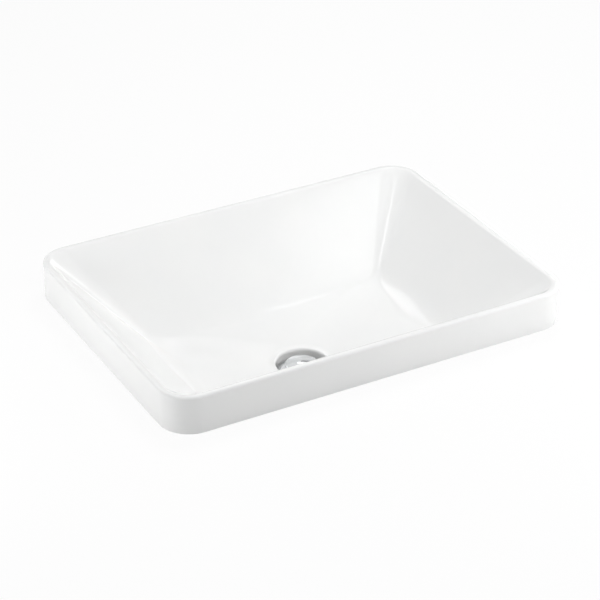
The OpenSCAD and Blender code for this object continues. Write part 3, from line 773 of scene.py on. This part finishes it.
spring = makePiece("lift_spring", [], "fixed_basin", "return_spring", springSteel,
                   tubes=[springGrid()])
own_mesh(spring)
print("Cartridge made")


# The plug: domed cap, seal, retainer, nut and plunger

def capSection():
    # the cap from the roof of its socket, round the underside and edge to the top of the dome
    radius, rise = plug["capRadius"], plug["domeRise"]
    edgeZ, socket = capZ + plug["capEdge"], plug["stemRadius"] + threadClear
    domeRadius = radius - plug["domeStart"]
    under = roundedSection([
        [poleRadius, stemTopZ, 0], [socket, stemTopZ, 0.2], [socket, retainerZ + freeClear, 0.2],
        [plug["socketRadius"], retainerZ + freeClear, 0.3], [plug["socketRadius"], stemTopZ, 0.3],
        [plug["retainerRadius"], stemTopZ, 0.3], [plug["retainerRadius"], capZ, 0.3],
        [radius, capZ, 0.7], [radius, edgeZ, 1.1],
        [domeRadius, edgeZ + plug["domeStartRise"], 0]], closed=False)
    # the dome is a sphere's cap through the edge: z = top - (R - sqrt(R^2 - r^2))
    sphere = ((radius - plug["domeInset"]) ** 2 + rise ** 2) / (2 * rise)
    r = np.linspace(domeRadius, poleRadius, plug["domeRings"])
    dome = np.stack([r, edgeZ + rise - (sphere - np.sqrt(sphere ** 2 - r ** 2))], axis=-1)
    return np.concatenate([under[:-1], dome])


makePiece("chrome_plug_cap", [], "plug", "plug_cap", chrome,
          tubes=[turnedGrid(capSection(), columns=128)])
sealHole, sealOuter = plug["socketRadius"] + threadClear, waste["throatRadius"] - freeClear
makePiece("rubber_plug_seal", [turnedGrid(roundedSection([
    [sealHole, sealZ, 0.2], [sealOuter - plug["sealTaper"], sealZ, 0.5],
    [sealOuter, capZ, 0.4], [sealHole, capZ, 0.2]]))],
    "plug", "plug_seal", rubber)
makePiece("acetal_seal_retainer", [turnedGrid(roundedSection([
    [sealHole, retainerZ, 0.3], [plug["retainerRadius"], retainerZ, 0.6],
    [plug["retainerRadius"], sealZ, 0.2], [sealHole, sealZ, 0.2]]))],
    "plug", "seal_retainer", acetal)
makePiece("brass_stem_nut", [nutGrid(plug["nutFlats"], plug["stemRadius"] + threadClear, stemNutZ,
                                     retainerZ)],
          "plug", "stem_lock_nut", brass)
spigotZ = springTopZ + freeClear - plug["spigotPast"]
makePiece("brass_plunger", [], "plug", "plunger", brass, tubes=[turnedGrid(roundedSection([
    [poleRadius, spigotZ, 0], [plug["spigotRadius"], spigotZ, 0.4],
    [plug["spigotRadius"], headUnderZ, 0.2], [slideRadius, headUnderZ, 0.4],
    [slideRadius, headZ, 0.4], [plug["stemRadius"], headZ, 0.3],
    [plug["stemRadius"], stemTopZ, 0.5], [poleRadius, stemTopZ, 0]],
    steps=5, closed=False), columns=64)])
# the rotor's solid has its real shape, so it stays and only takes its finish
for materialSlot in frame["nodes"]["cam_rotor"].material_slots:
    materialSlot.material = acetal
print("Plug made")


# Camera, fitted to the photograph's perspective

view = {"azimuth": -28.974, "elevation": 30.173, "distance": 2624.6, "pixels": 2170.8, "width": 600,
        "sensor": 36.0, "clipStart": 50, "shiftRight": -1.31, "shiftUp": 35.5}


def addCamera():
    # the target is the middle of the rim's top, moved across the view to frame it as in the photo
    az, el = math.radians(view["azimuth"]), math.radians(view["elevation"])
    back = np.array([math.sin(az) * math.cos(el), -math.cos(az) * math.cos(el), math.sin(el)])
    right = np.array([math.cos(az), math.sin(az), 0.0])
    up = np.cross(back, right)
    target = np.array([0, 0, bowl["rimHeight"]]) - view["shiftRight"] * right - view["shiftUp"] * up
    data = bpy.data.cameras.new("photo_camera")
    data.sensor_width = view["sensor"]
    data.lens = view["pixels"] / view["width"] * view["sensor"]
    data.clip_start = view["clipStart"] * mm
    camera = bpy.data.objects.new("photo_camera", data)
    bpy.context.scene.collection.objects.link(camera)
    camera.location = ((target + view["distance"] * back) * mm).tolist()
    camera.rotation_mode = "QUATERNION"
    turned = Matrix(np.stack([right, up, back], axis=1).tolist())
    camera.rotation_quaternion = turned.to_quaternion()
    bpy.context.scene.camera = camera


addCamera()


# Stage: a pale counter with the cut-out that the bowl passes through

counter = {"reach": 4000, "cutLength": 480, "cutDepth": 340, "cutRadius": 40, "drop": 0.05,
           "rings": (0, 0.05, 1), "colour": "#f4f4f4", "shadowShare": 0.08}


def backdropRays(tree):
    # 1 for the camera's rays and for those that reach the backdrop by a reflection or through glass
    path = addNode(tree, "ShaderNodeLightPath")
    seen = addNode(tree, "ShaderNodeMath", {"operation": "MAXIMUM"})
    tree.links.new(path.outputs["Is Camera Ray"], seen.inputs[0])
    tree.links.new(path.outputs["Is Glossy Ray"], seen.inputs[1])
    seenAll = addNode(tree, "ShaderNodeMath", {"operation": "MAXIMUM"})
    tree.links.new(seen.outputs[0], seenAll.inputs[0])
    tree.links.new(path.outputs["Is Transmission Ray"], seenAll.inputs[1])
    return seenAll.outputs[0]


def paintedBoard():
    # a matt white board; the camera sees it lifted towards plain white and keeps part of its
    # shadows, and from below it is clear, so that the underside of the basin shows
    material = bpy.data.materials.new("matt_white_board")
    material.use_nodes = True
    tree = material.node_tree
    tree.nodes.clear()
    output = tree.nodes.new("ShaderNodeOutputMaterial")
    board = addNode(tree, "ShaderNodeBsdfDiffuse", {"Color": toLinear(counter["colour"])})
    glow = addNode(tree, "ShaderNodeEmission", {"Color": (1, 1, 1, 1), "Strength": 1.0})
    lift = addNode(tree, "ShaderNodeMath", {"operation": "MULTIPLY"})
    tree.links.new(backdropRays(tree), lift.inputs[0])
    lift.inputs[1].default_value = 1 - counter["shadowShare"]
    lifted = addNode(tree, "ShaderNodeMixShader", None, Fac=(lift, 0))
    tree.links.new(board.outputs[0], lifted.inputs[1])
    tree.links.new(glow.outputs[0], lifted.inputs[2])
    clear = addNode(tree, "ShaderNodeBsdfTransparent")
    side = addNode(tree, "ShaderNodeNewGeometry")
    oneSided = addNode(tree, "ShaderNodeMixShader", None, Fac=(side, "Backfacing"))
    tree.links.new(lifted.outputs[0], oneSided.inputs[1])
    tree.links.new(clear.outputs[0], oneSided.inputs[2])
    tree.links.new(oneSided.outputs[0], output.inputs["Surface"])
    return material


def makeCounter():
    # a flat ring between the cut-out's rounded outline and a far square
    stretch, share, signX, signY = ringColumns()
    reach, radius, z = counter["reach"], counter["cutRadius"], -counter["drop"]
    inner = np.array([counter["cutLength"] / 2, counter["cutDepth"] / 2, radius, 0, z])
    outward = np.array(counter["rings"], float)[:, None]
    rings = (inner + (np.array([reach, reach, radius, 0, z]) - inner) * outward)[:, None, :]
    grid = ringGrid(rings, 0 * outward, stretch, share, signX, signY, np.zeros(len(stretch)))
    index = np.arange(grid.shape[0] * grid.shape[1]).reshape(grid.shape[:2])
    following = np.roll(index, -1, axis=1)
    quads = np.stack([index[:-1], index[1:], following[1:], following[:-1]], axis=-1).reshape(-1, 4)
    mesh = bpy.data.meshes.new("counter_top")
    mesh.from_pydata((grid.reshape(-1, 3) * mm).tolist(), [], quads.tolist())
    mesh.materials.append(paintedBoard())
    top = bpy.data.objects.new("counter_top", mesh)
    bpy.context.scene.collection.objects.link(top)


makeCounter()


# Light: a soft white room and large softboxes, whose light is diffused so far that the glaze shows
# none of their edges, of which the last two stand under the counter and light the underside;
# panels that only the gloss shows, as soft bands and thin highlights; and two cards, a grey one
# that takes the glare off the front of the rim's top and a black one that edges the chrome

light = {"room": 0.12, "softbox": (700, 700)}
softboxes = {
    "back_softbox": {"place": (600, 600, 1470), "power": 12.9},
    "left_low_softbox": {"place": (-1640, 0, 440), "power": 5.1},
    "right_softbox": {"place": (985, -985, 975), "power": 4.4},
    "front_softbox": {"place": (0, -850, 1470), "power": 6},
    "left_softbox": {"place": (-850, 0, 1470), "power": 2.9},
    "right_low_softbox": {"place": (1640, 0, 440), "power": 1.8},
    "corner_softbox": {"place": (520, -620, 300), "power": 1.2, "size": (300, 300),
                       "aim": (200, -150, 30)},
    "left_strip": {"place": (-620, 60, 120), "power": 0.48, "size": (500, 150),
                   "aim": (-265, 60, 20)},
    "under_front_softbox": {"place": (-700, -900, -1100), "power": 6, "aim": (0, 0, -60)},
    "under_back_softbox": {"place": (800, 900, -1100), "power": 4.5, "aim": (0, 0, -60)},
}
panels = {
    "back_panel": {"place": (-604, 3811, 3180), "power": 8.5, "size": (1240, 1310)},
    "right_panel": {"place": (2440, 1585, 726), "power": 11, "size": (1600, 1160)},
    "corner_panel": {"place": (-325, 85, 1600), "power": 0.5, "size": (200, 200),
                     "aim": (178, 105, -30)},
    "front_right_panel": {"place": (1616, -1176, 2281), "power": 0.88, "size": (480, 480),
                          "aim": (180, 140, 0)},
    "drain_panel": {"place": (948, 1711, 1476), "power": 0.58, "size": (480, 306),
                    "aim": (0, 0, -80)},
    "high_panel": {"place": (845, -321, 1629), "power": 0.16, "size": (160, 160)},
}
cards = {
    "grey_card": {"place": (1457, 2119, 1545), "size": (610, 740), "colour": "#b0b0b0"},
    "black_flag": {"place": (1385, 1830, 960), "size": (480, 190), "colour": "#202020"},
}


def makeWorld():
    # the room lights the basin at one low level, and where it is seen its walls are plain white;
    # sockets 2 and 3 take the two levels
    world = bpy.data.worlds.new("studio")
    bpy.context.scene.world = world
    world.use_nodes = True
    tree = world.node_tree
    tree.nodes.clear()
    output = tree.nodes.new("ShaderNodeOutputWorld")
    strength = addNode(tree, "ShaderNodeMix", {"data_type": "FLOAT"})
    tree.links.new(backdropRays(tree), strength.inputs[0])
    strength.inputs[2].default_value = light["room"]
    strength.inputs[3].default_value = 1.0
    background = addNode(tree, "ShaderNodeBackground", {"Color": (1, 1, 1, 1)})
    tree.links.new(strength.outputs[0], background.inputs["Strength"])
    tree.links.new(background.outputs[0], output.inputs["Surface"])


def facing(place, aim):
    # the side, upward and backward directions of a rectangle at a place that faces an aim
    away = (np.array(place, float) - aim) / np.linalg.norm(np.array(place, float) - aim)
    side = np.cross([0, 0, 1], away)
    side /= np.linalg.norm(side)
    return side, np.cross(away, side), away


def addLamp(name, place, power, size=light["softbox"], aim=(0, 0, 0)):
    # a rectangle that shines from its place towards its aim, hidden from the camera
    data = bpy.data.lights.new(name, "AREA")
    data.shape = "RECTANGLE"
    data.size, data.size_y, data.energy = size[0] * mm, size[1] * mm, power
    lamp = bpy.data.objects.new(name, data)
    bpy.context.scene.collection.objects.link(lamp)
    lamp.location = (np.array(place) * mm).tolist()
    lamp.visible_camera = False
    lamp.rotation_mode = "QUATERNION"
    lamp.rotation_quaternion = Matrix(np.stack(facing(place, aim), axis=1).tolist()).to_quaternion()
    return lamp


def addCard(name, place, size, colour):
    # a card behind the basin, facing it, which only reflections see
    material = bpy.data.materials.new(name)
    material.use_nodes = True
    tree = material.node_tree
    tree.nodes.clear()
    output = tree.nodes.new("ShaderNodeOutputMaterial")
    sheen = addNode(tree, "ShaderNodeEmission", {"Color": toLinear(colour)})
    tree.links.new(sheen.outputs[0], output.inputs["Surface"])
    side, up = facing(place, (0, 0, 0))[:2]
    across, along = side * size[0] / 2, up * size[1] / 2
    corners = np.stack([-across - along, across - along, across + along, along - across]) + place
    mesh = bpy.data.meshes.new(name)
    mesh.from_pydata((corners * mm).tolist(), [], [(0, 1, 2, 3)])
    mesh.materials.append(material)
    card = bpy.data.objects.new(name, mesh)
    bpy.context.scene.collection.objects.link(card)
    card.visible_camera = card.visible_diffuse = card.visible_shadow = False


makeWorld()
for name, settings in softboxes.items():
    addLamp(name, **settings).visible_glossy = False
for name, settings in panels.items():
    addLamp(name, **settings).visible_diffuse = False
for name, settings in cards.items():
    addCard(name, **settings)
bpy.context.scene.view_settings.view_transform = "Standard"
print("Camera, stage and light made")
